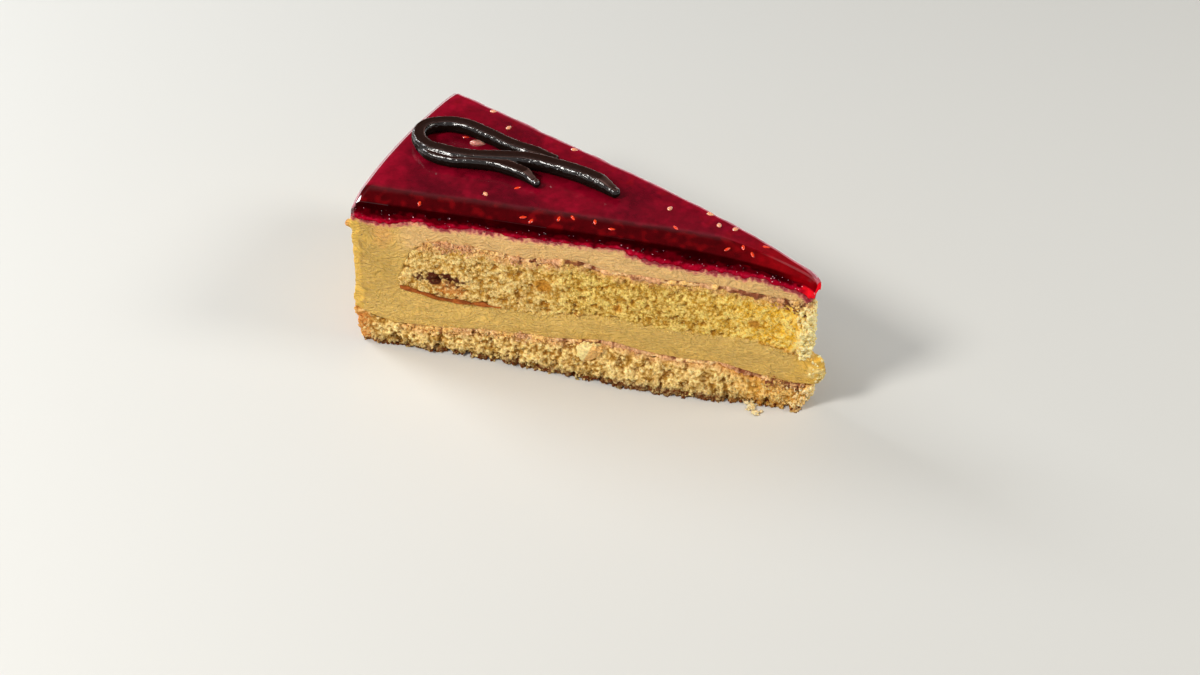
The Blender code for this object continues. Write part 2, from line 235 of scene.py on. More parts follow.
def shaded(material, colour, strength):
    """A node's colour, made lighter or darker by another node's output."""
    shade = add_node(material, "ShaderNodeVectorMath", operation="SCALE")
    join(material, colour, shade.inputs[0])
    join(material, strength, shade.inputs["Scale"])
    return shade.outputs["Vector"]


def add_bump(material, shader, heights, height_mm):
    """Fine relief from a node's output, on top of the relief that the shader already has."""
    bump = add_node(material, "ShaderNodeBump", Strength=1.0, Distance=height_mm * MM)
    join(material, heights, bump.inputs["Height"])
    if shader.inputs["Normal"].is_linked:
        join(material, shader.inputs["Normal"].links[0].from_socket, bump.inputs["Normal"])
    join(material, bump.outputs["Normal"], shader.inputs["Normal"])


def crumb_material(name, gap_shade, fineness=1350.0):
    """Open sponge crumb: the painted tint, full on the fine crumbs and darkened between them as painted
    shade.
    """
    material, shader = new_material(name, 0.85)
    crumbs = add_noise(material, Scale=fineness, Detail=4.0, Roughness=0.65)
    patches = add_noise(material, Scale=420.0, Detail=2.0)
    patchy = stretched(material, patches.outputs["Fac"], (0.3, 0.7), (1.15, 1.45))
    # The ramp is painted shade: the gap_shade colour where the crumb noise is low, between the crumbs, and
    # full tint on the crumbs.
    between = add_node(material, "ShaderNodeValToRGB")
    stops = between.color_ramp.elements
    stops[0].position = 0.36
    stops[0].color = (*gap_shade, 1)
    stops[1].position = 0.62
    stops[1].color = (1.0, 1.0, 1.0, 1)
    stops.new(0.48).color = (0.8, 0.74, 0.6, 1)
    deepened = add_node(material, "ShaderNodeVectorMath", operation="MULTIPLY")
    join(material, crumbs.outputs["Fac"], between.inputs["Fac"])
    join(material, shaded(material, painted_tint(material), patchy), deepened.inputs[0])
    join(material, between.outputs["Color"], deepened.inputs[1])
    join(material, deepened.outputs["Vector"], shader.inputs["Base Color"])
    shader.inputs["Specular IOR Level"].default_value = 0.2
    shader.inputs["Subsurface Weight"].default_value = 0.3
    shader.inputs["Subsurface Radius"].default_value = (0.9, 0.65, 0.35)
    shader.inputs["Subsurface Scale"].default_value = 0.7 * MM
    add_bump(material, shader, crumbs.outputs["Fac"], 0.45)
    return material


def serve(piece, material, node=None):
    """Gives a finished piece its material and its place on the part."""
    piece.data.materials.clear()
    piece.data.materials.append(material)
    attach(piece, "root")
    if node:
        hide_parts(node)


def finish_apart(piece, material, chosen):
    """A second material for the faces whose points are all among the chosen ones."""
    piece.data.materials.append(material)
    for face in piece.data.polygons:
        if all(chosen[i] for i in face.vertices):
            face.material_index = 1


def crumb_shapes(count, rough, subdivisions=2):
    """Small lumps of unit size, each of another shape."""
    shapes = []
    for n in range(count):
        bm = bmesh.new()
        bmesh.ops.create_icosphere(bm, subdivisions=subdivisions, radius=1.0)
        for vertex in bm.verts:
            vertex.co *= 1 + rough * noise.noise(vertex.co * 1.1 + Vector((7.7 * n, 1.3, 4.1)))
            vertex.co.y *= 0.8
            vertex.co.z *= 0.65
        shape = bpy.data.meshes.new("crumb_shape")
        bm.to_mesh(shape)
        bm.free()
        shapes.append(shape)
    return shapes


def scatter(name, spots, sizes, colours, shapes, seed):
    """A mesh of many small lumps, one at each spot (mm), turned at random and painted its own colour."""
    chance = random.Random(seed)
    bm = bmesh.new()
    for spot, size in zip(spots.tolist(), sizes):
        lump = chance.choice(shapes).copy()
        axis = Vector((chance.uniform(-1, 1), chance.uniform(-1, 1), chance.uniform(0.2, 1)))
        turn = Matrix.Rotation(chance.uniform(0, 2 * math.pi), 4, axis)
        lump.transform(Matrix.Translation(Vector(spot) * MM) @ turn @ Matrix.Scale(size * MM, 4))
        bm.from_mesh(lump)
        bpy.data.meshes.remove(lump)
    lumps = new_piece(bm, name)
    corners = skin(lumps)[0]
    corners[:, 2] = np.maximum(corners[:, 2], 0)
    move_skin(lumps, corners)
    paint(lumps, np.repeat(colours, len(corners) // len(spots), axis=0))
    return lumps


def loose_spots(points, normals, weights, count, seed):
    """Seeded random picks of skin points, likelier where the weights are high."""
    chance = np.random.default_rng(seed)
    weights = weights * (weights > 0)
    return chance.choice(len(points), count, replace=False, p=weights / weights.sum()), chance


base = even_copy("base_sponge", "base_sponge_crumb", SPONGE_FACE)
points, normals = skin(base)
r, v = polar(points)
z = points[:, 2].copy()
torn = 1 + 0.9 * ramp(4 - z, 0, 4) + 0.8 * ramp(14 - r, 0, 10)
grains = 0.6 * field(points, 0.85, 4) - 0.6 * field(points, 1.3, 1, "VORONOI_F1") - 0.15
lumps = field(points, 2.6, 2, stretch=(1, 1, 1.7))
pits = ramp(field(points, 1.9, 3, stretch=(1, 1, 1.5)), 0.18, 0.5)
relief = (0.6 * grains + 0.5 * lumps - 0.8 * pits) * torn + CLOSE_GAP + 0.2
points += normals * relief[:, None]
points[:, 2] = np.maximum(points[:, 2], 0)
move_skin(base, points)
tints = plain(BASE_CRUMB, points)
# Painted highlight: the raised grains and lumps are lightened towards ivory.
tints = tinted(tints, BASE_IVORY_AND_HIGHLIGHT, ramp(grains + 0.6 * lumps, -0.5, 0.15))
# Painted shade: the pits between the grains are darkened to a deep amber.
tints = tinted(tints, BASE_PIT_SHADE, 0.9 * ramp(0.6 * pits - grains - 0.6 * lumps, 0.35, 0.8))
# Painted shade: the crumb darkens towards the foot, where it stands on the floor.
tints *= 1 - 0.44 * ramp(FOOT_HIGH - z, 0, 4)[:, None]
browned = ramp(SKIN_HIGH + 1.6 * lumps - z, 0, 1.1)
tints = tinted(tints, BAKED_SKIN, 0.85 * browned * ramp(-grains, -0.75, 0.2))
# Painted glow: towards the point the crumb is tinted a warm yellow, as if lit through from behind.
tints = tinted(tints, POINT_GLOW_PAINTED, 0.5 * ramp(30 - r + 4 * lumps, 0, 12))
tints = tinted(tints, PALE_CRUMB, 0.5 * ramp(8 - r + 3 * lumps, 0, 4))
edge = ramp(r + 2.5 * lumps, 129, 133.5) * ramp(16 - z + 3 * lumps, 0, 6)
tints = tinted(tints, OUTER_CRUST, 0.8 * edge)
soaked = ramp(nearness(points, "base_jam", 3.0) + 0.5 * lumps, 0.25, 0.9)
tints = tinted(tints, SOAKED_CRUMB, 0.6 * soaked)
# The soaked crumb near the point takes the same painted glow.
tints = tinted(tints, POINT_GLOW_PAINTED, 0.6 * soaked * ramp(34 - r, 0, 12))
paint(base, tints)
crumb_look = crumb_material("sponge_crumb", (0.5, 0.36, 0.2))
torn_look = crumb_material("torn_crumb", (0.86, 0.74, 0.5))
serve(base, crumb_look, "base_sponge")

torn_shapes = crumb_shapes(7, 0.95)
fine_shapes = crumb_shapes(9, 1.1, 1)
showing = (np.abs(v) > SHOWN_AT_CUT) | (r < 6) | (r > 133)
weights = showing * (normals[:, 2] > -0.6) * (0.35 + 1.6 * ramp(FOOT_HIGH - z, 0, 4) + 0.8 * (r < 16))
weights *= z < np.interp(r, *BASE_TOP)
picked, chance = loose_spots(points, normals, weights, BASE_CRUMBS, 8)
sizes = 0.16 + 0.42 * chance.random(BASE_CRUMBS) ** 2
spots = points[picked] - normals[picked] * (0.25 * sizes)[:, None]
colours = tinted(tints[picked], BASE_IVORY_AND_HIGHLIGHT, chance.uniform(0, 0.9, BASE_CRUMBS))
colours *= chance.uniform(0.62, 1.04, (BASE_CRUMBS, 1))
colours = tinted(colours, BAKED_SKIN, (z[picked] < 1.6) * (chance.random(BASE_CRUMBS) < 0.5))
serve(scatter("base_sponge_crumbs", spots, sizes, colours, fine_shapes, 9), torn_look)
weights = ramp(11 - r, 0, 5) * (z > 0.8) * (z < 7.5) * (np.abs(normals[:, 2]) < 0.8)
picked, chance = loose_spots(points, normals, weights, POINT_CRUMBS, 58)
sizes = chance.uniform(0.3, 0.75, POINT_CRUMBS)
colours = tinted(tints[picked], PALE_CRUMB, chance.uniform(0.2, 1, POINT_CRUMBS))
serve(scatter("base_point_crumbs", points[picked], sizes, colours, torn_shapes, 59), torn_look)


# Vanilla cream
# A light whipped vanilla cream, spread as the filling, round the outer end and over the upper
# sponge. The knife that cut the slice left fine wavy drag marks, and the raspberry bleeds into it.

CREAM_FACE = 0.42
CREAM_SHOWN = 3.0
CREAM_THINNED = 0.62
AT_CUT = 0.985
CREAM_TOP = (232, 186, 116)
CREAM_WALL = (208, 166, 76)
CREAM_FILLING = (220, 178, 88)
CREAM_POINT = (232, 182, 70)
CREAM_TORN_HIGHLIGHT = (255, 228, 150)
CREAM_FILM = (230, 184, 74)
CREAM_FOLD_SHADE = (170, 124, 52)
CREAM_STAIN = (226, 160, 84)
CREAM_BLEED = (152, 12, 38)
CREAM_BLUSH = (232, 158, 122)
CREAM_PINK = (212, 78, 90)
CREAM_SOAK = (224, 172, 126)
FILM_EDGE = 132.9
STAIN_PLACE = (126.5, 41.0)
STAIN_WIDE = 4.5
BEAD = (135.6, -0.97, 41.5)
BEAD_REACH = 2.4
BEAD_SAG = (-0.55, -0.15, 0)
BEAD_AMBER = (206, 142, 54)


def cream_material():
    """Satin cream with wavy drag marks and a few vanilla specks."""
    material, shader = new_material("vanilla_cream", 0.42)
    place = add_node(material, "ShaderNodeTexCoord").outputs["Object"]
    drift = add_noise(material, Scale=150.0, Detail=1.0)
    bend = add_node(material, "ShaderNodeVectorMath", operation="SCALE", Scale=7.0 * MM)
    bent = add_node(material, "ShaderNodeVectorMath", operation="ADD")
    turn = add_node(material, "ShaderNodeMapping", Rotation=(0.0, 0.3, 0.2), Scale=(620.0, 620.0, 1900.0))
    marks = add_node(material, "ShaderNodeTexNoise", Scale=1.0, Detail=3.0, Roughness=0.5)
    specks = add_node(material, "ShaderNodeTexVoronoi", Scale=210.0)
    join(material, drift.outputs["Color"], bend.inputs[0])
    join(material, place, bent.inputs[0])
    join(material, bend.outputs["Vector"], bent.inputs[1])
    join(material, bent.outputs["Vector"], turn.inputs["Vector"])
    join(material, turn.outputs["Vector"], marks.inputs["Vector"])
    join(material, place, specks.inputs["Vector"])
    shadow = stretched(material, marks.outputs["Fac"], (0.35, 0.65), (0.88, 1.14))
    dark = stretched(material, specks.outputs["Distance"], (0.035, 0.06), (0.35, 1.0))
    specked = shaded(material, shaded(material, painted_tint(material), shadow), dark)
    join(material, specked, shader.inputs["Base Color"])
    shader.inputs["Subsurface Weight"].default_value = 0.25
    shader.inputs["Subsurface Radius"].default_value = (1.0, 0.7, 0.35)
    shader.inputs["Subsurface Scale"].default_value = 0.7 * MM
    stipple = add_noise(material, Scale=1200.0, Detail=2.0)
    add_bump(material, shader, stipple.outputs["Fac"], 0.5)
    add_bump(material, shader, marks.outputs["Fac"], 0.85)
    return material


cream = even_copy("vanilla_cream", "vanilla_cream_spread", CREAM_FACE)
# Where the other layers cover the cream, out of sight, its faces are thinned.
r, v = polar(skin(cream)[0])
covered = (behind_cut(r, v) > CREAM_SHOWN) & (r < CAKE_RADIUS - CREAM_SHOWN)
inside = cream.vertex_groups.new(name="covered_by_layers")
inside.add(np.flatnonzero(covered).tolist(), 1.0, "REPLACE")
thinned = cream.modifiers.new("thinned_inside", "DECIMATE")
thinned.ratio = CREAM_THINNED
thinned.vertex_group = inside.name
apply_modifiers(cream)
cream.vertex_groups.clear()
points, normals = skin(cream)
r, v = polar(points)
z = points[:, 2].copy()
waves = field(points, 2.6, 5, stretch=(1.6, 1.6, 0.7))
swells = field(points, 7.0, 6)
rough_point = ramp(11 - r, 0, 7)
torn_cream = field(points, 2.2, 7) + 0.6 * field(points, 1.0, 17)
relief = 0.25 * waves + 0.2 * swells + rough_point * (0.35 * torn_cream - 0.15) + CLOSE_GAP * 0.8
relief += 0.5 * nearness(points, "upper_sponge", 1.0)
relief += 0.2 * field(points, 1.2, 19) * (0.35 + 0.65 * ramp(r, 100, 118))
points += normals * relief[:, None]
bead_angle = BEAD[1] * HALF_ANGLE
bead = np.array([APEX_X - BEAD[0] * math.cos(bead_angle), BEAD[0] * math.sin(bead_angle), BEAD[2]])
in_bead = (np.linalg.norm(points - bead, axis=1) < BEAD_REACH) * ramp(r, 135.2, 135.9)
points += (0.3 * (bead - points) + np.array(BEAD_SAG)) * in_bead[:, None]
move_skin(cream, points)
tints = plain(CREAM_FILLING, points)
tints = tinted(tints, CREAM_TOP, ramp(z + 3 * swells, 30, 38) * ramp(128 - r + 4 * swells, 0, 12))
tints = tinted(tints, CREAM_WALL, ramp(r + 4 * swells, 118, 130) * ramp(z, 14, 20))
tints = tinted(tints, CREAM_POINT, ramp(13 - r + 3 * waves, 0, 9) * ramp(30 - z, 0, 4))
# Painted highlight: the raised torn lumps at the point are lightened towards ivory.
tints = tinted(tints, CREAM_TORN_HIGHLIGHT, 0.7 * ramp(7 - r, 0, 4) * ramp(torn_cream, 0, 0.4))
at_cut = np.abs(v) > AT_CUT
film = r - FILM_EDGE + 1.1 * field(points, 5.5, 10) + 0.5 * field(points, 1.6, 15)
tints = tinted(tints, CREAM_FILM, 0.9 * ramp(film, -0.5, 0.5) * (z > 10))
# Painted shade: a wavy dark line in the crease where the film meets the cut face.
crease_shade = ramp(0.7 - abs(film), 0, 0.6) * (0.1 + 0.9 * ramp(waves, -0.1, 0.3))
tints = tinted(tints, CREAM_FOLD_SHADE, 0.6 * at_cut * crease_shade * ramp(z, 12, 15))
stain = 1 - np.hypot(r - STAIN_PLACE[0], (z - STAIN_PLACE[1]) * 0.6) / STAIN_WIDE
tints = tinted(tints, CREAM_STAIN, 0.55 * ramp(stain + 0.4 * waves, 0, 0.8) * (v < 0))
tints = tinted(tints, BEAD_AMBER, in_bead)
tints = tinted(tints, CREAM_SOAK, 0.7 * ramp(nearness(points, "upper_jam", 1.6) + 0.5 * waves, 0.3, 1))
tints = tinted(tints, CREAM_SOAK, 0.5 * ramp(nearness(points, "base_jam", 1.2) + 0.5 * waves, 0.3, 1))
near_glaze = nearness(points, "raspberry_glaze", 2.4)
ragged = (field(points, 0.9, 8) + 0.7 * field(points, 4.5, 9)) * ramp(near_glaze, 0, 0.2)
tints = tinted(tints, CREAM_BLUSH, 0.7 * ramp(near_glaze + 0.35 * ragged, 0.05, 0.6))
tints = tinted(tints, CREAM_PINK, 0.8 * ramp(near_glaze + 0.5 * ragged, 0.3, 0.75))
bleed = ramp(near_glaze + 0.55 * ragged, 0.45, 0.85)
tints = tinted(tints, CREAM_BLEED, bleed)
paint(cream, tints)
cream_look = cream_material()
serve(cream, cream_look, "vanilla_cream")
smeared = at_cut * (r < 128) * ramp(nearness(points, "upper_sponge", 1.6), 0.1, 0.5)
smeared_points, smeared_normals, smeared_tints = points, normals, tints


# Upper sponge
# The thicker sponge inside the cream: a finer, springier crumb than the base, yellower towards the
# point, where it is torn. Its baked underside shows as an orange-brown line at the outer end.

UPPER_CRUMB = (190, 144, 58)
UPPER_IVORY_AND_HIGHLIGHT = (252, 224, 158)
UPPER_PIT_SHADE = (150, 96, 22)
POINT_CRUMB = (255, 200, 66)
PALE_TORN_AND_GLOW = (255, 237, 180)
UPPER_CRUMBS = 7500
TORN_CRUMBS = 420
SMEARED_CRUMBS = 520
FALLEN_CRUMBS = 34
DARK_PORE_SHADE = (80, 30, 4)
CRUST_CRUMB = (202, 122, 56)
AMBER_PORE_SHADE = (196, 140, 50)
CRUST_LINE = (164, 90, 36)
CRUST_DARK_AND_SHADE = (120, 60, 20)
UNDER_SIDE = ([3, 20, 60, 85, 111, 122], [18.2, 21.5, 22.3, 19.9, 19.9, 22.3])
CRUST_SPAN = (92.5, 122.0)
CRUST_HIGH = 0.85
BLUE_LOSS = 0.26
BAKED_PATCH = (107.5, 24.2, 5.2, 2.6)
SHADED_PORES = ((112.5, 26.9, 3.5, 1.8), (107.4, 27.1, 3.2, 1.7))
AMBER_SHADED_PORES = ((80.5, 30.0, 2.6, 2.6), (59.2, 25.8, 1.5, 1.5), (21.0, 27.7, 1.7, 1.7))


def beside_cut(along, out, z):
    """A point along the front cut, standing out from it."""
    x = APEX_X - along * math.cos(HALF_ANGLE) + out * math.sin(HALF_ANGLE)
    y = -along * math.sin(HALF_ANGLE) - out * math.cos(HALF_ANGLE)
    return Vector((x, y, z))


def inside_oval(r, z, oval):
    """1 in the middle of an oval (r, z, half width, half height) at the cut, 0 on its edge, less beyond."""
    return 1 - np.hypot((r - oval[0]) / oval[2], (z - oval[1]) / oval[3])


upper = even_copy("upper_sponge", "upper_sponge_crumb", SPONGE_FACE)
points, normals = skin(upper)
r, v = polar(points)
z = points[:, 2].copy()
torn = 1 + 1.6 * ramp(11 - r, 0, 7)
grains = 0.6 * field(points, 0.8, 16) - 0.6 * field(points, 1.1, 11, "VORONOI_F1") - 0.15
lumps = field(points, 2.4, 12)
pits = ramp(field(points, 1.7, 13), 0.22, 0.5)
ragged = ramp(nearness(points, "vanilla_cream", 1.6), 0.2, 0.9) * np.maximum(field(points, 1.7, 14), -0.2)
relief = (0.26 * grains + 0.22 * lumps - 0.55 * pits) * torn + CLOSE_GAP + 0.15 + 1.3 * ragged
relief -= 0.9 * ramp(8 - r, 0, 4)
points += normals * relief[:, None]
move_skin(upper, points)
tints = plain(UPPER_CRUMB, points)
tints = tinted(tints, POINT_CRUMB, 0.8 * ramp(48 - r + 10 * lumps, 0, 40))
# Painted highlight: the raised grains and lumps are lightened towards ivory.
tints = tinted(tints, UPPER_IVORY_AND_HIGHLIGHT, 0.85 * ramp(grains + 0.5 * lumps, -0.45, 0.15))
# Painted shade: the pits between the grains are darkened to amber, less so at the point.
deep = ramp(0.5 * pits - grains - 0.4 * lumps, 0.4, 0.9) * (0.4 + 0.6 * ramp(r, 6, 30))
tints = tinted(tints, UPPER_PIT_SHADE, 0.85 * deep)
yellowed = 1 - BLUE_LOSS * ramp(88 - r, 0, 22)
tints[:, 2] *= yellowed
# At the torn point the crumb is pale, and painted paler still as a glow, as if lit through from behind.
tints = tinted(tints, PALE_TORN_AND_GLOW, 0.9 * ramp(11.5 - r + 3 * lumps, 0, 8))
soaked = ramp(nearness(points, "upper_jam", 4.2) + 0.5 * lumps, 0.35, 0.95)
tints = tinted(tints, SOAKED_CRUMB, 0.7 * soaked)
crust = ramp(1.2 + 0.6 * lumps - (z - np.interp(r, *UNDER_SIDE)), 0, 1.1)
baked = 0.4 * ramp(r, 88, 96)
for middle, reach, share in ((70, 8, 0.55), (14, 9, 0.6)):
    baked += share * ramp(reach - abs(r - middle), 0, 5)
tints = tinted(tints, CRUST_LINE, crust * np.clip(baked, 0, 1))
near_cut = (v < 0) * ramp(4 - behind_cut(r, v), 0, 3)
under_pores = 0.15 + inside_oval(r, z, BAKED_PATCH)
tints = tinted(tints, CRUST_CRUMB, 0.65 * near_cut * ramp(under_pores + 0.7 * lumps - 0.8 * grains, 0, 0.6))
# Painted shade: the open pores at the front cut are painted dark brown and amber for the shade inside them.
hollow = np.zeros(len(points))
for pore in SHADED_PORES:
    gap = 0.25 + inside_oval(r, z, pore)
    hollow = np.maximum(hollow, ramp(gap + 0.8 * lumps - 0.9 * grains, 0.1, 0.6))
tints = tinted(tints, DARK_PORE_SHADE, hollow * near_cut)
for pore in AMBER_SHADED_PORES:
    near_pore = ramp(0.15 + inside_oval(r, z, pore), 0, 0.4)
    tints = tinted(tints, AMBER_PORE_SHADE, near_pore * near_cut)
    hollow = np.maximum(hollow, near_pore)
paint(upper, tints)
fine_look = crumb_material("fine_sponge_crumb", (0.5, 0.38, 0.2), 1900.0)
serve(upper, fine_look, "upper_sponge")

clear = 1 - np.clip(hollow, 0, 1)
weights = ((np.abs(v) > SHOWN_AT_CUT) | (r < 7)) * (np.abs(normals[:, 2]) < 0.8) * clear
picked, chance = loose_spots(points, normals, weights, UPPER_CRUMBS, 18)
sizes = 0.14 + 0.24 * chance.random(UPPER_CRUMBS) ** 1.5
spots = points[picked] - normals[picked] * (0.2 * sizes)[:, None]
colours = tinted(tints[picked], UPPER_IVORY_AND_HIGHLIGHT, chance.uniform(0, 0.9, UPPER_CRUMBS))
colours *= chance.uniform(0.66, 1.04, (UPPER_CRUMBS, 1))
colours[:, 2] *= np.where(r[picked] > 11, yellowed[picked], 1)
serve(scatter("upper_sponge_crumbs", spots, sizes, colours, fine_shapes, 19), torn_look)

picked, chance = loose_spots(smeared_points, smeared_normals, smeared, SMEARED_CRUMBS, 38)
sizes = chance.uniform(0.18, 0.45, SMEARED_CRUMBS)
spots = smeared_points[picked] - smeared_normals[picked] * (0.4 * sizes)[:, None]
colours = tinted(smeared_tints[picked], UPPER_IVORY_AND_HIGHLIGHT, chance.uniform(0, 0.5, SMEARED_CRUMBS))
serve(scatter("smeared_crumbs", spots, sizes, colours, torn_shapes, 39), fine_look)

weights = ramp(10 - r, 0, 4) * (np.abs(normals[:, 2]) < 0.9)
picked, chance = loose_spots(points, normals, weights, TORN_CRUMBS, 28)
sizes = chance.uniform(0.35, 0.8, TORN_CRUMBS)
spots = points[picked] + normals[picked] * chance.uniform(-0.2, 0.4, (TORN_CRUMBS, 1))
colours = tinted(tints[picked], PALE_TORN_AND_GLOW, chance.uniform(0.5, 1, TORN_CRUMBS))
serve(scatter("torn_point_crumbs", spots, sizes, colours, torn_shapes, 29), torn_look)
finish_apart(upper, torn_look, r + 3 * lumps < 13)

bm = bmesh.new()
bmesh.ops.create_icosphere(bm, subdivisions=5, radius=1.0)
for vertex in bm.verts:
    along, deep, high = vertex.co
    r = np.interp(along, [-1, 1], CRUST_SPAN)
    blunt = 1 / max(deep * deep + high * high, 1e-4) ** 0.35
    sway = 0.3 * noise.noise(Vector((r / 5.0, 3.3, 8.8)))
    thick = CRUST_HIGH * high * blunt * (0.8 + noise.noise(Vector((r / 3.0, 1.1, 2.2))))
    z = np.interp(r, *UNDER_SIDE) + 0.25 + sway + thick
    vertex.co = beside_cut(r, 0.45 - 0.45 * deep * blunt, z) * MM
crust_line = new_piece(bm, "baked_crust_line")
points, normals = skin(crust_line)
points += normals * (0.12 * field(points, 0.7, 76))[:, None]
move_skin(crust_line, points)
tints = plain(CRUST_LINE, points)
# Darker patches of crust, with painted shade where the line faces down.
tints = tinted(tints, CRUST_DARK_AND_SHADE, 0.8 * ramp(field(points, 1.6, 77) - 0.5 * normals[:, 2], 0, 0.4))
paint(crust_line, tints)
serve(crust_line, torn_look)

low_point = ramp(5 - polar(smeared_points)[0], 0, 1.5) * (smeared_points[:, 2] < 24)
weights = low_point * (smeared_normals[:, 2] > -0.3)
picked, chance = loose_spots(smeared_points, smeared_normals, weights, FALLEN_CRUMBS, 68)
sizes = chance.uniform(0.25, 0.55, FALLEN_CRUMBS)
colours = plain(PALE_TORN_AND_GLOW, picked) * chance.uniform(0.7, 1, (FALLEN_CRUMBS, 1))
fallen = scatter("fallen_crumbs", smeared_points[picked], sizes, colours, torn_shapes, 69)
serve(fallen, torn_look)


# Raspberry jam
# A brushing of jam soaked into the top of each sponge. At the cut it is a broken, moist line of
# pink and brown crumbs between the sponge and the cream.

JAM_FACE = 0.4
JAM_CRUMBS = 700
JAM_PINK = (246, 204, 150)
JAM_MAUVE = (222, 172, 130)
JAM_BROWN = (124, 52, 24)
JAM_STRAW = (238, 194, 122)

jam_look = crumb_material("soaked_jam", (0.55, 0.4, 0.3))
jam_look.node_tree.nodes["Principled BSDF"].inputs["Roughness"].default_value = 0.55
for seed, node in ((21, "base_jam"), (31, "upper_jam")):
    jam = even_copy(node, node + "_line", JAM_FACE)
    points, normals = skin(jam)
    r, v = polar(points)
    grains = -field(points, 1.1, seed, "VORONOI_F1")
    lumps = field(points, 2.6, seed + 1)
    patches = field(points, 6.0, seed + 2)
    relief = 0.4 * grains + 0.8 * lumps + 0.5
    points += normals * relief[:, None]
    move_skin(jam, points)
    tints = plain(JAM_PINK, points)
    tints = tinted(tints, JAM_MAUVE, ramp(patches + 0.4 * lumps, -0.1, 0.35))
    dark = field(points, 2.2, seed + 3) - 0.3 * grains + 0.45 * ramp(34 - r, 0, 12)
    dark += 0.5 * ramp(4 - abs(r - 68), 0, 2)
    tints = tinted(tints, JAM_STRAW, 0.9 * ramp(-patches + 0.5 * lumps + 0.5 * ramp(r, 100, 116), 0.05, 0.35))
    tints = tinted(tints, JAM_BROWN, 0.9 * ramp(dark, 0.3, 0.55))
    paint(jam, tints)
    serve(jam, jam_look, node)
    weights = (np.abs(v) > AT_CUT) * ramp(128 - r, 0, 12)
    picked, chance = loose_spots(points, normals, weights, JAM_CRUMBS, seed + 4)
    sizes = chance.uniform(0.15, 0.42, JAM_CRUMBS)
    spots = points[picked] + np.array([0, 0, 1]) * chance.normal(-0.4, 0.9, (JAM_CRUMBS, 1))
    spots[:, 1] += np.sign(v[picked]) * 0.15
    crumbs = scatter(node + "_crumbs", spots, sizes, tints[picked], torn_shapes, seed + 5)
    serve(crumbs, jam_look)


# Raspberry glaze
# A clear set raspberry jelly, poured over the cream and run down to a rounded rim. It is a mirror on
# the flat top, sinks along the cuts, and its cut face is wet, dark and bled into the cream.

GLAZE_HEIGHT = 51.2
GLAZE_TIP = 5.2
TIP_SETTLE = 6.0
SETTLE_START = 4.0
SETTLE_REACH = 70.0
SHOULDER = 8.0
SHOULDER_DROP = (1.5, 0.3)
RIM_ROUND = 3.6
RIM_DROP = 3.2
RIM_FLAT = 1.1
TIP_ROUND = 4.0
TIP_DROP = 1.6
TIP_WIDTH = 1.2
TIP_REACH = 30.0
FOOT_GUESS = 45.0
EDGE_ROUND = (0.6, 1.3)
EDGE_DROP = (0.4, 0.9)
GLAZE_STEPS = 320
GLAZE_ACROSS = 56
GLAZE_LEVELS = 14
TIP_STEPS = 0.04
RIM_STEPS = 0.07
GLAZE_TOP = (119, 4, 26)
GLAZE_DEEP = (86, 3, 20)
GLAZE_BRIGHT = (162, 10, 40)
GLAZE_SHOULDER = (72, 0, 4)
GLAZE_POINT = (142, 3, 12)
GLAZE_PULP = (150, 10, 16)
GLAZE_WET_CUT = (84, 0, 10)
GLAZE_SHADE = (26, 0, 1)
GLAZE_BLEED = (160, 6, 34)
GLAZE_SPECK = (214, 40, 78)
GLAZE_SMEAR = (255, 22, 38)
GLAZE_LIP_HIGHLIGHT = (240, 150, 164)
GLAZE_PAINTED_GLINT = (255, 190, 205)
CUT_BEADS = 240


def rounding(distance, reach):
    """1 at an edge, falling on a quarter circle to 0 at the reach from it."""
    inside = np.clip(1 - distance / reach, 0, 1)
    return 1 - np.sqrt(1 - inside * inside)


def glaze_top(r, v):
    """Height of the glaze's upper side."""
    settled = TIP_SETTLE * np.maximum(0, 1 - (r - SETTLE_START) / SETTLE_REACH) ** 3.2
    from_cut = behind_cut(r, v)
    drop = np.where(v > 0, SHOULDER_DROP[1], SHOULDER_DROP[0])
    shoulder = drop * np.maximum(0, 1 - from_cut / SHOULDER) ** 2
    front, back = (d * rounding(from_cut, e) for d, e in zip(EDGE_DROP, EDGE_ROUND))
    edge = np.where(v > 0, back, front)
    rim = RIM_DROP * rounding(CAKE_RADIUS - r, RIM_ROUND)
    tip = TIP_DROP * rounding(r - GLAZE_TIP, TIP_ROUND)
    return GLAZE_HEIGHT - settled - shoulder - edge - rim - tip


def on_slice(r, v, z):
    """Points of the slice as x, y and z in mm."""
    angle = v * HALF_ANGLE
    widening = v * TIP_WIDTH * np.maximum(0, 1 - r / TIP_REACH) ** 2
    flat_r = r - RIM_FLAT * (1 - v * v) * (r / CAKE_RADIUS) ** 6
    return np.stack([APEX_X - flat_r * np.cos(angle), flat_r * np.sin(angle) + widening, z], 1)


def foot_of(node, points):
    """Height of a CAD node's lower side over or under each point."""
    tree = cad_tree(node)
    heights = []
    for x, y in (points[:, :2] * MM).tolist():
        hit = tree.ray_cast(Vector((x, y, 0)), Vector((0, 0, 1)))[0]
        heights.append(hit.z / MM if hit else np.nan)
    return np.array(heights)


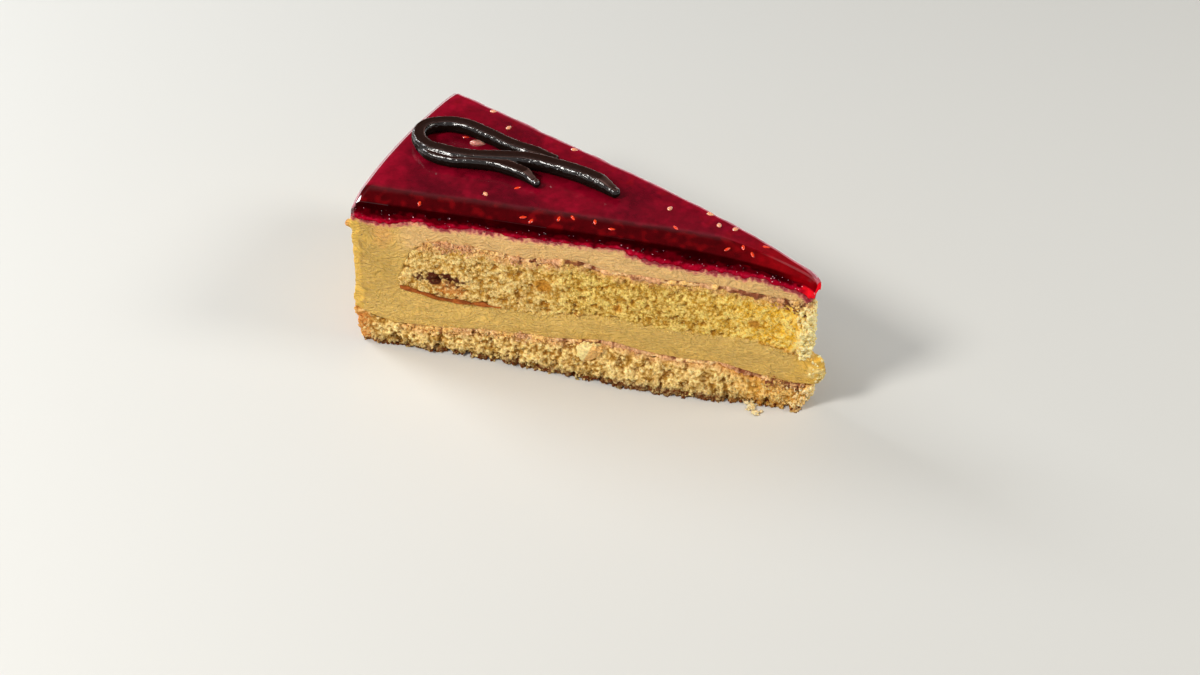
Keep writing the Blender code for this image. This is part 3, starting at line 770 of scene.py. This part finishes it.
bm = bmesh.new()
bmesh.ops.create_cube(bm, size=1.0, matrix=Matrix.Translation((0.5, 0.5, 0.5)))
for axis, count in enumerate((GLAZE_STEPS, GLAZE_ACROSS, GLAZE_LEVELS)):
    along = [e for e in bm.edges if abs((e.verts[0].co - e.verts[1].co)[axis]) > 0.5]
    bmesh.ops.subdivide_edges(bm, edges=along, cuts=count - 1)
glaze = new_piece(bm, "raspberry_glaze_jelly")
along, across, share = (skin(glaze)[0] * MM).T
reach = CAKE_RADIUS - GLAZE_TIP
inner_share = (along - TIP_STEPS) / (1 - TIP_STEPS - RIM_STEPS)
r = GLAZE_TIP + TIP_ROUND + (reach - TIP_ROUND - RIM_ROUND) * inner_share
tip_turn = np.clip(along / TIP_STEPS, 0, 1) * math.pi / 2
rim_turn = np.clip((along - 1 + RIM_STEPS) / RIM_STEPS, 0, 1) * math.pi / 2
r = np.where(along < TIP_STEPS, GLAZE_TIP + TIP_ROUND * (1 - np.cos(tip_turn)), r)
r = np.where(along > 1 - RIM_STEPS, CAKE_RADIUS - RIM_ROUND * (1 - np.sin(rim_turn)), r)
v = np.sin((2 * across - 1) * math.pi / 2)
inside = on_slice(np.clip(r, GLAZE_TIP + 1.4, CAKE_RADIUS - 0.6), np.clip(v, -0.975, 0.975), v)
foot = foot_of("raspberry_glaze", inside)
foot = np.where(np.isnan(foot), FOOT_GUESS, foot)
points = on_slice(r, v, foot + (glaze_top(r, v) - foot) * share)
at_cut = np.abs(v) > 0.9999
at_rim = r > CAKE_RADIUS - 0.01
outward = np.stack([np.full(len(v), math.sin(HALF_ANGLE)), np.sign(v) * math.cos(HALF_ANGLE), 0 * v], 1)
ragged = field(points, 1.5, 41) + 0.6 * field(points, 4.0, 42)
drips = field(points, 0.9, 43)
wet = at_cut * np.sin(np.clip(share, 0, 1) * math.pi) * (0.25 + 0.35 * ragged + 0.18 * drips)
points += outward * wet[:, None]
lip = at_cut * (share < 0.35) * (0.2 + 0.5 * np.maximum(ragged, -0.2)) * (1 - share / 0.35)
points += outward * lip[:, None]
points[:, 2] -= (at_cut * (share < 0.3)) * (0.35 + 0.6 * np.maximum(ragged, -0.5)) * (1 - share / 0.3)
from_cut = behind_cut(r, v)
wavy = (v > 0) * ramp(3 - from_cut, 0, 3) * field(points, 6.0, 55)
points += outward * (0.5 * wavy)[:, None]
level = (share > 0.999) * ramp(r * (1 - np.abs(v)), 0, 6)
points[:, 2] += level * (0.05 * field(points, 9.0, 44) + 0.012 * field(points, 2.0, 45))
move_skin(glaze, points)
clouds = field(points, 5.0, 46) + 0.5 * field(points, 2.0, 47)
tints = plain(GLAZE_TOP, points)
tints = tinted(tints, GLAZE_DEEP, 0.7 * ramp(field(points, 16.0, 52) + 0.25 * clouds, -0.1, 0.4))
tints = tinted(tints, GLAZE_BRIGHT, 0.35 * ramp(clouds + field(points, 12.0, 53), 0.1, 0.7))
thin_rim = 0.45 * ramp(r + 2 * clouds, 122, 134)
thin_back = 0.5 * (v > 0) * ramp(4.5 + clouds - from_cut, 0, 4)
tints = tinted(tints, GLAZE_BRIGHT, np.maximum(thin_rim, thin_back))
tints = tinted(tints, GLAZE_SHOULDER, (v < 0) * ramp(7.4 + 0.8 * clouds - from_cut, 0, 1.4))
tints = tinted(tints, GLAZE_POINT, 0.8 * ramp(34 - r + 4 * clouds, 0, 16))
pulp = ramp(field(points, 2.2, 48) + 0.5 * clouds, 0.05, 0.7) * ramp(9 - from_cut, 0, 5)
tints = tinted(tints, GLAZE_PULP, 0.34 * pulp * (share > 0.9))
cut_skin = at_cut * ramp(0.97 - share, 0, 0.1)
tints = tinted(tints, GLAZE_WET_CUT, cut_skin)
tints = tinted(tints, GLAZE_BLEED, 0.7 * cut_skin * ramp(clouds + ragged - share, -0.2, 0.5))
bleed = at_cut * ramp(np.interp(r, [25, 70], [0.48, 0.34]) + 0.32 * ragged - share, 0, 0.25)
tints = tinted(tints, GLAZE_BLEED, bleed)
tints = tinted(tints, GLAZE_SPECK, 0.45 * bleed * ramp(field(points, 0.8, 54), 0.15, 0.4))
cut_shade = ramp(share + 0.4 * ragged + 0.4 * clouds, 0.42, 0.8)
shade_band = np.where(at_cut, cut_shade, ramp(1.2 - from_cut, 0, 0.9) * (v < 0))
tints = tinted(tints, GLAZE_SHADE, 0.85 * shade_band * ramp(r, 9, 16))
tints = tinted(tints, GLAZE_SMEAR, ramp(10 + 2 * ragged - r, 0, 3) * ramp(0.95 - share, 0, 0.25))
# Painted highlight: a pale pink line along the back edge and the rim, for the bright reflection there; partly
# also the paler thin edge of the jelly.
rim_highlight = ramp(r, 133.3, 133.9) * ramp(134.8 - r, 0, 0.25)
lip_highlight = np.maximum((v > 0) * ramp(1.5 - from_cut, 0, 0.4), rim_highlight) * ramp(share, 0.85, 0.97)
tints = tinted(tints, GLAZE_LIP_HIGHLIGHT, 0.5 * lip_highlight)
paint(glaze, tints)


def jelly_material(name, roughness, relief_mm):
    """Raspberry jelly: the painted tint, clouded by fine fruit pulp."""
    material, shader = new_material(name, roughness)
    fruit = add_noise(material, Scale=420.0, Detail=4.0, Roughness=0.6)
    clouded = stretched(material, fruit.outputs["Fac"], (0.3, 0.72), (0.75, 1.3))
    join(material, shaded(material, painted_tint(material), clouded), shader.inputs["Base Color"])
    add_bump(material, shader, fruit.outputs["Fac"], relief_mm)
    return material, shader


mirror_look, shader = jelly_material("raspberry_glaze", 0.07, 0.03)
shader.inputs["Coat Weight"].default_value = 1.0
shader.inputs["Coat Roughness"].default_value = 0.03
cut_look, shader = jelly_material("raspberry_glaze_cut", 0.32, 0.5)
shader.inputs["Specular IOR Level"].default_value = 0.0
serve(glaze, mirror_look, "raspberry_glaze")
wet_side = (at_cut | ((from_cut < 0.7) & (v < 0)) | (r < 6.2)) & (r < 134)
finish_apart(glaze, cut_look, wet_side)

weights = at_cut * ramp(share, 0.15, 0.3) * ramp(0.95 - share, 0, 0.1)
picked, chance = loose_spots(points, normals, weights, CUT_BEADS, 48)
sizes = chance.uniform(0.1, 0.22, CUT_BEADS)
# Painted glints: some beads are painted pale pink, for sparkles of light on the wet cut.
painted_glints = (chance.random(CUT_BEADS) < 0.3) * chance.uniform(0.2, 1, CUT_BEADS)
colours = tinted(tints[picked], GLAZE_PAINTED_GLINT, painted_glints)
beads = scatter("cut_beads", points[picked], sizes, colours, crumb_shapes(3, 0.2), 49)
serve(beads, mirror_look)


# Seeds and flake
# Raspberry seeds caught in the jelly: pale where they stand out of the flat top, glowing orange
# where they lie under the skin of the sunken edge. A pale glossy fruit flake lies inside the loop.

PALE_SEED = (255, 172, 130)
RED_SEED = (255, 66, 26)
FLAKE_PINK = (228, 152, 136)
PALE_SIZE = (1.05, 0.7, 0.52)
RED_SIZE = (1.3, 0.5, 0.42)
PALE_SUNK = 0.15
RED_SUNK = 0.45
PALE_PLACES = [
    # distance r, offset from the middle line, turn in degrees
    (50.7, 4.2, 80), (36.1, 4.1, 110), (31.7, 4.9, 60), (40.5, 7.4, 10), (99.8, -12.3, 140), (87.8, 17.6, 20),
    (109.3, 19, 75), (118, 24.6, 30),
]
RED_PLACES = [
    (92.4, -5.8, 50), (116, -23.1, 105), (86.6, -16.4, 30), (84.2, -16.6, 80), (77.1, -12.9, 100),
    (73.7, -11.1, 140), (67.3, -10, 114), (62, -10.7, 15), (46, -2.8, 150), (30.3, -3.4, 60),
    (26.8, -0.7, 114), (21.7, 2.6, 20), (23.8, -1.7, 130), (117.1, 9.4, 20),
]
FLAKE_PLACE = (112.7, 8.2, 12)
FLAKE = (2.6, 1.4, 0.8)


def set_grain(bm, r, offset, turn, size, sunk):
    """A drop-shaped grain lying on the glaze, sunk by a share of its height."""
    v = math.asin(offset / r) / HALF_ANGLE
    height = float(glaze_top(np.array([r]), np.array([v]))[0])
    x, y, z = on_slice(np.array([float(r)]), np.array([v]), np.array([height]))[0]
    made = bmesh.ops.create_uvsphere(bm, u_segments=14, v_segments=9, radius=1.0)["verts"]
    for vertex in made:
        slim = 1 - 0.45 * max(vertex.co.x, 0)
        vertex.co.y *= slim
        vertex.co.z *= slim
    matrix = (
        Matrix.Translation((x * MM, y * MM, (z - sunk * size[2]) * MM))
        @ Matrix.Rotation(math.radians(turn), 4, "Z")
        @ Matrix.Diagonal((*(s * MM for s in size), 1))
    )
    bmesh.ops.transform(bm, matrix=matrix, verts=made)


def seed_material(name, colour):
    """Glossy seed skin, deeper between its fine grains."""
    material, shader = new_material(name, 0.2)
    grain = add_noise(material, Scale=2200.0, Detail=2.0)
    shades = add_node(material, "ShaderNodeValToRGB")
    stops = shades.color_ramp.elements
    stops[0].position = 0.3
    stops[0].color = [*(c * 0.6 for c in linear(colour)), 1]
    stops[1].position = 0.6
    stops[1].color = [*linear(colour), 1]
    join(material, grain.outputs["Fac"], shades.inputs["Fac"])
    join(material, shades.outputs["Color"], shader.inputs["Base Color"])
    shader.inputs["Coat Weight"].default_value = 0.6
    shader.inputs["Subsurface Weight"].default_value = 0.3
    shader.inputs["Subsurface Scale"].default_value = 0.5 * MM
    add_bump(material, shader, grain.outputs["Fac"], 0.05)
    return material


def lay_grains(name, places, size, sunk, material):
    bm = bmesh.new()
    for r, offset, turn in places:
        set_grain(bm, r, offset, turn, size, sunk)
    grains = new_piece(bm, name)
    serve(grains, material)
    return grains


lay_grains("pale_seeds", PALE_PLACES, PALE_SIZE, PALE_SUNK, seed_material("pale_seed", PALE_SEED))
lay_grains("red_seeds", RED_PLACES, RED_SIZE, RED_SUNK, seed_material("red_seed", RED_SEED))
flake = lay_grains("fruit_flake", [FLAKE_PLACE], FLAKE, 0.0, seed_material("pink_flake", FLAKE_PINK))
points, normals = skin(flake)
points += normals * (0.5 * field(points, 1.3, 51))[:, None]
move_skin(flake, points)


# Chocolate loop
# Two threads of dark chocolate piped onto the glaze and run together. The nozzle left a flat, dull
# upper face between two fine edges, and the sides have set glossy, rounded and a little pitted.

LOOP_PATH = [(-18.6, 7.9), (-25, 7.7), (-33.5, 8.4), (-42, 10.1), (-49.5, 11), (-55.5, 9.3), (-59, 5.2),
             (-58.4, 0.9), (-54.6, -2.5), (-48.5, -3.1), (-41, -1.8), (-33, 1.2), (-25.5, 3.9), (-17.5, 4.7),
             (-9.5, 4.4), (-3, 3.4), (1.5, 2.2), (2.5, 1.9)]
TAIL_PATH = [(-56.6, -2.4), (-51.8, -4.8), (-46, -4.9), (-40, -3), (-34, -1.3), (-28.5, -1.2), (-23.5, -1.8),
             (-18.9, -3.6)]
PATH_SHIFT = -0.55
LOOP_ENDS = (0.75, 0.76, 0.52)
TAIL_ENDS = (0.7, 1.02, 0.5)
THREAD_DROPS = [(1.6, 2.0, 1.5), (-19.9, -3.4, 1.25)]
THREAD_WIDTH = 4.4
THREAD_HEIGHT = 3.9
THREAD_SWELL = 0.12
LOOP_SIZE = 1.0
TAIL_SIZE = 0.87
THREAD_REST = 51.3
THREAD_TOP = 2.5
THREAD_FACE = 0.2
CHOCOLATE_SIDE = (20, 9, 5)
CHOCOLATE_TOP = (36, 19, 14)
CHOCOLATE_EDGE_HIGHLIGHT = (150, 114, 106)


def thread_section():
    """The nozzle's section: a flat, barely hollow top between two fine edges, over round sides."""
    curve = bpy.data.curves.new("thread_section", "CURVE")
    curve.dimensions = "2D"
    half = THREAD_WIDTH / 2
    right = [(0.97, 0.66), (0.9, 0.8), (0.78, 0.91), (0.64, 0.98), (0.54, 1.01), (0.4, 0.985), (0.2, 0.975)]
    corners = [(half * x, THREAD_HEIGHT * y) for x, y in right]
    corners += [(-x, y) for x, y in reversed(corners)]
    for n in range(13):
        angle = math.pi * (1 + n / 12)
        corners.append((half * math.cos(angle), THREAD_HEIGHT * max(0.55 + 0.56 * math.sin(angle), 0)))
    spline = curve.splines.new("POLY")
    spline.points.add(len(corners) - 1)
    for point, (x, y) in zip(spline.points, corners):
        point.co = (x * MM, y * MM, 0, 1)
    spline.use_cyclic_u = True
    section = bpy.data.objects.new("thread_section", curve)
    bpy.context.scene.collection.objects.link(section)
    return section


def piped_thread(name, path, section, size, ends):
    """A thread along a smooth path; its size and its first and two last points are shares of a full one."""
    curve = bpy.data.curves.new(name, "CURVE")
    curve.dimensions = "3D"
    curve.twist_mode = "Z_UP"
    curve.bevel_mode = "OBJECT"
    curve.bevel_object = section
    curve.use_fill_caps = True
    curve.resolution_u = 10
    spline = curve.splines.new("BEZIER")
    spline.bezier_points.add(len(path) - 1)
    for n, (point, (x, y)) in enumerate(zip(spline.bezier_points, path)):
        point.co = ((x + PATH_SHIFT) * MM, y * MM, THREAD_REST * MM)
        point.handle_left_type = point.handle_right_type = "AUTO"
        uneven = 1 + THREAD_SWELL * n / len(path) + 0.03 * math.sin(2.3 * n)
        slimmed = {0: ends[0], len(path) - 2: ends[1], len(path) - 1: ends[2]}
        point.radius = size * slimmed.get(n, uneven)
    thread = bpy.data.objects.new(name, curve)
    bpy.context.scene.collection.objects.link(thread)
    bpy.context.view_layer.update()
    mesh = bpy.data.meshes.new_from_object(thread.evaluated_get(bpy.context.evaluated_depsgraph_get()))
    bpy.data.objects.remove(thread, do_unlink=True)
    return mesh


section = thread_section()
bm = bmesh.new()
bm.from_mesh(piped_thread("loop_thread", LOOP_PATH, section, LOOP_SIZE, LOOP_ENDS))
bm.from_mesh(piped_thread("tail_thread", TAIL_PATH, section, TAIL_SIZE, TAIL_ENDS))
for x, y, radius in THREAD_DROPS:
    centre = Matrix.Translation((x * MM, y * MM, (THREAD_REST + radius) * MM))
    bmesh.ops.create_icosphere(bm, subdivisions=3, radius=radius * MM, matrix=centre)
bmesh.ops.remove_doubles(bm, verts=bm.verts, dist=1e-6)
bmesh.ops.recalc_face_normals(bm, faces=bm.faces)
bpy.data.objects.remove(section, do_unlink=True)
threads = new_piece(bm, "chocolate_threads")
wrap_evenly(threads, THREAD_FACE)
points, normals = skin(threads)
on_top = ramp(normals[:, 2], 0.86, 0.97) * ramp(points[:, 2] - THREAD_REST - THREAD_TOP, -0.2, 0.2)
pitted = ramp(-field(points, 1.3, 61, "VORONOI_F1"), 0.1, 0.7) * ramp(field(points, 4.0, 62), -0.1, 0.3)
relief = (0.1 * field(points, 1.3, 63) - 0.16 * pitted) * (1 - on_top) + 0.03 * field(points, 3.0, 64)
points += normals * relief[:, None]
move_skin(threads, points)
# Painted highlight: a pale line along the edges of the flat top, stronger on the far side, for the reflection
# there.
edge_highlight = ramp(normals[:, 2], 0.78, 0.88) * ramp(0.985 - normals[:, 2], 0, 0.05)
tints = plain(CHOCOLATE_SIDE, points)
tints = tinted(tints, CHOCOLATE_TOP, on_top)
tints = tinted(tints, CHOCOLATE_EDGE_HIGHLIGHT, edge_highlight * (0.2 + 0.5 * ramp(normals[:, 1], -0.1, 0.2)))
paint(threads, tints)


def chocolate_material(name, roughness, gloss, fineness, relief_mm):
    """Dark chocolate: the painted tint with a fine uneven bloom, glossy by a share."""
    material, shader = new_material(name, roughness)
    bloom = add_noise(material, Scale=fineness, Detail=4.0, Roughness=0.6)
    bloomed = stretched(material, bloom.outputs["Fac"], (0, 1), (0.7, 1.3))
    join(material, shaded(material, painted_tint(material), bloomed), shader.inputs["Base Color"])
    shader.inputs["Specular IOR Level"].default_value = gloss
    add_bump(material, shader, bloom.outputs["Fac"], relief_mm)
    return material


glossy_look = chocolate_material("glossy_chocolate", 0.14, 0.75, 1700.0, 0.07)
serve(threads, glossy_look, "chocolate_loop")
dull_look = chocolate_material("flat_chocolate", 0.5, 0.06, 1000.0, 0.06)
finish_apart(threads, dull_look, (on_top > 0.5) | (normals[:, 2] < 0.3))


# Cream curl and loose crumbs
# A curl of cream that the knife dragged onto the base, and a few crumbs that fell out of the foot
# near the point and lie against it.

CURL_PLACE = (66.7, 1.1, 9.0)
CURL_SIZE = (4.3, 1.7, 3.6)
CREAM_CURL = (255, 226, 150)
CURL_SHADED_SIDE = (250, 184, 96)
CRUMB_PLACES = [
    # distance along the front cut, distance out from it, radius
    (22.4, 1.2, 0.9), (21.2, 2.4, 0.8), (20.0, 3.4, 0.9), (19.0, 4.6, 0.7), (18.2, 5.8, 0.9),
    (17.6, 6.8, 0.6), (18.6, 3.2, 0.6), (17.0, 4.8, 0.5), (20.6, 4.6, 0.5), (22.0, 0.2, 0.8),
    (18.0, 0.8, 0.8), (19.6, 1.2, 0.9),
]
CRUMBS_TOGETHER = 4

bm = bmesh.new()
curl_matrix = (
    Matrix.Translation(beside_cut(*CURL_PLACE) * MM)
    @ Matrix.Rotation(HALF_ANGLE, 4, "Z")
    @ Matrix.Diagonal((*(s * MM for s in CURL_SIZE), 1))
)
bmesh.ops.create_icosphere(bm, subdivisions=5, radius=1.0)
for vertex in bm.verts:
    rise = (vertex.co.z + 1) / 2
    inward = max(1 - vertex.co.x ** 2 - vertex.co.z ** 2, 0)
    vertex.co.x = vertex.co.x * (0.3 + 0.75 * rise) - 0.4 * (1 - rise)
    vertex.co.x += 0.45 * max(vertex.co.x, 0) * rise
    from_ridge = vertex.co.x + 0.55 - 0.7 * rise
    height = 1 - (0.9 * abs(from_ridge) if from_ridge < 0 else 0.45 * from_ridge)
    if vertex.co.y < 0:
        vertex.co.y = -(0.25 + height) * (0.5 + 0.5 * rise) * inward ** 0.3
bmesh.ops.transform(bm, matrix=curl_matrix, verts=bm.verts)
curl = new_piece(bm, "cream_curl")
points, normals = skin(curl)
edge = 0.3 + 0.7 * ramp(1 + normals[:, 1], 0.1, 0.6)
torn = 0.7 * field(points, 1.9, 71) + 0.7 * field(points, 0.8, 72) + 0.3 * field(points, 0.4, 74)
points += normals * (edge * torn)[:, None]
move_skin(curl, points)
# Painted shade: the side of the curl turned away from the key light is painted a deeper orange, and the dents
# of the torn surface are darkened.
shaded_side = ramp(normals[:, 0] + 0.15 * field(points, 1.5, 73), 0.15, 0.4)
tints = tinted(plain(CREAM_CURL, points), CURL_SHADED_SIDE, 0.8 * shaded_side)
paint(curl, tints * (1 + 0.5 * np.clip(torn, -0.8, 0.1))[:, None])
serve(curl, cream_look)

chance = np.random.default_rng(7)
places = np.repeat(CRUMB_PLACES, CRUMBS_TOGETHER, axis=0)
spots = np.array([beside_cut(along, out, radius * 0.7) for along, out, radius in places])
spots[:, :2] += chance.uniform(-0.6, 0.6, (len(spots), 2))
sizes = places[:, 2] * chance.uniform(0.5, 0.85, len(spots))
colours = plain(PALE_CRUMB, spots) * chance.uniform(0.7, 1, (len(spots), 1))
serve(scatter("loose_crumbs", spots, sizes, colours, torn_shapes, 75), torn_look)


# Studio
# A plain pale floor in a quiet pale room, whose far wall the glaze mirrors, and three soft lights: from
# the front left, from beyond the outer end and from beyond the point. The camera stands where the
# photograph was taken from.

FLOOR_GREY = (214, 213, 209)
FLOOR_WIDE = 6.0
BACKDROP = [
    # height over the floor in degrees, brightness
    (0.3, 2.2), (6, 2.2), (9, 0.05), (35, 0.02), (40, 0.04), (44, 0.14), (48, 0.11), (54, 0.02),
]
ROOM_TINT = (0.95, 0.97, 1.0, 1)
FRONT_LIGHT = 0.5
LIGHTS = {
    # azimuth and elevation in degrees, width in metres, watts, colour
    "key_light": (-32, 44, 0.22, 5.6, (1.0, 0.97, 0.92)),
    "back_light": (262, 30, 0.34, 4.0, (0.95, 0.98, 1.0)),
    "point_light": (108, 42, 0.3, 3.0, (1.0, 0.97, 0.9)),
}
LIGHT_DISTANCE = 0.9
LIGHT_AIM = (0, 0, 0.02)
CAMERA_AZIMUTH = 24.39
CAMERA_ELEVATION = 40.38
CAMERA_ROLL = 1.02
CAMERA_DISTANCE = 583.8
CAMERA_AIM = (APEX_X - 58.0, -24.25, 23.55)
CAMERA_LENS = 63.87


def away_from_cake(azimuth, elevation):
    """A direction away from the cake; azimuth 0 is in front, 90 to the right."""
    az, el = math.radians(azimuth), math.radians(elevation)
    return Vector((math.sin(az) * math.cos(el), -math.cos(az) * math.cos(el), math.sin(el)))


bpy.ops.mesh.primitive_grid_add(x_subdivisions=2, y_subdivisions=2, size=FLOOR_WIDE)
floor = bpy.context.object
floor.name = "floor"
floor_look, shader = new_material("pale_floor", 0.6)
shader.inputs["Base Color"].default_value = (*linear(FLOOR_GREY), 1)
floor.data.materials.append(floor_look)

world = bpy.data.worlds.new("pale_room")
bpy.context.scene.world = world
world.use_nodes = True
background = world.node_tree.nodes["Background"]
background.inputs["Color"].default_value = ROOM_TINT
height = add_node(world, "ShaderNodeSeparateXYZ")
walls = add_node(world, "ShaderNodeValToRGB")
stops = walls.color_ramp.elements
for elevation, strength in BACKDROP:
    stop = stops.new(math.sin(math.radians(elevation)))
    stop.color = (strength, strength, strength, 1)
stops.remove(stops[0])
stops.remove(stops[-1])
behind = add_node(world, "ShaderNodeMath", operation="MULTIPLY")
both = add_node(world, "ShaderNodeMath", operation="ADD")
join(world, add_node(world, "ShaderNodeTexCoord").outputs["Generated"], height.inputs["Vector"])
join(world, height.outputs["Z"], walls.inputs["Fac"])
join(world, walls.outputs["Color"], behind.inputs[0])
join(world, stretched(world, height.outputs["Y"], (-0.2, 0.3), (0, 1)), behind.inputs[1])
join(world, behind.outputs["Value"], both.inputs[0])
join(world, stretched(world, height.outputs["Y"], (0.1, -0.35), (0, FRONT_LIGHT)), both.inputs[1])
join(world, both.outputs["Value"], background.inputs["Strength"])

for name, (azimuth, elevation, width, watts, colour) in LIGHTS.items():
    light = bpy.data.lights.new(name, "AREA")
    light.shape = "DISK"
    light.size = width
    light.energy = watts
    light.color = colour
    lamp = bpy.data.objects.new(name, light)
    bpy.context.scene.collection.objects.link(lamp)
    away = away_from_cake(azimuth, elevation)
    lamp.rotation_euler = away.to_track_quat("Z", "Y").to_euler()
    lamp.location = away * LIGHT_DISTANCE + Vector(LIGHT_AIM)

back = away_from_cake(CAMERA_AZIMUTH, CAMERA_ELEVATION)
lens = bpy.data.cameras.new("camera")
lens.lens = CAMERA_LENS
lens.clip_start = 0.01
camera = bpy.data.objects.new("camera", lens)
bpy.context.scene.collection.objects.link(camera)
roll = Matrix.Rotation(math.radians(CAMERA_ROLL), 3, "Z").to_quaternion()
camera.rotation_euler = (back.to_track_quat("Z", "Y") @ roll).to_euler()
camera.location = (Vector(CAMERA_AIM) + back * CAMERA_DISTANCE) * MM
bpy.context.scene.camera = camera
bpy.context.scene.view_settings.view_transform = "Standard"
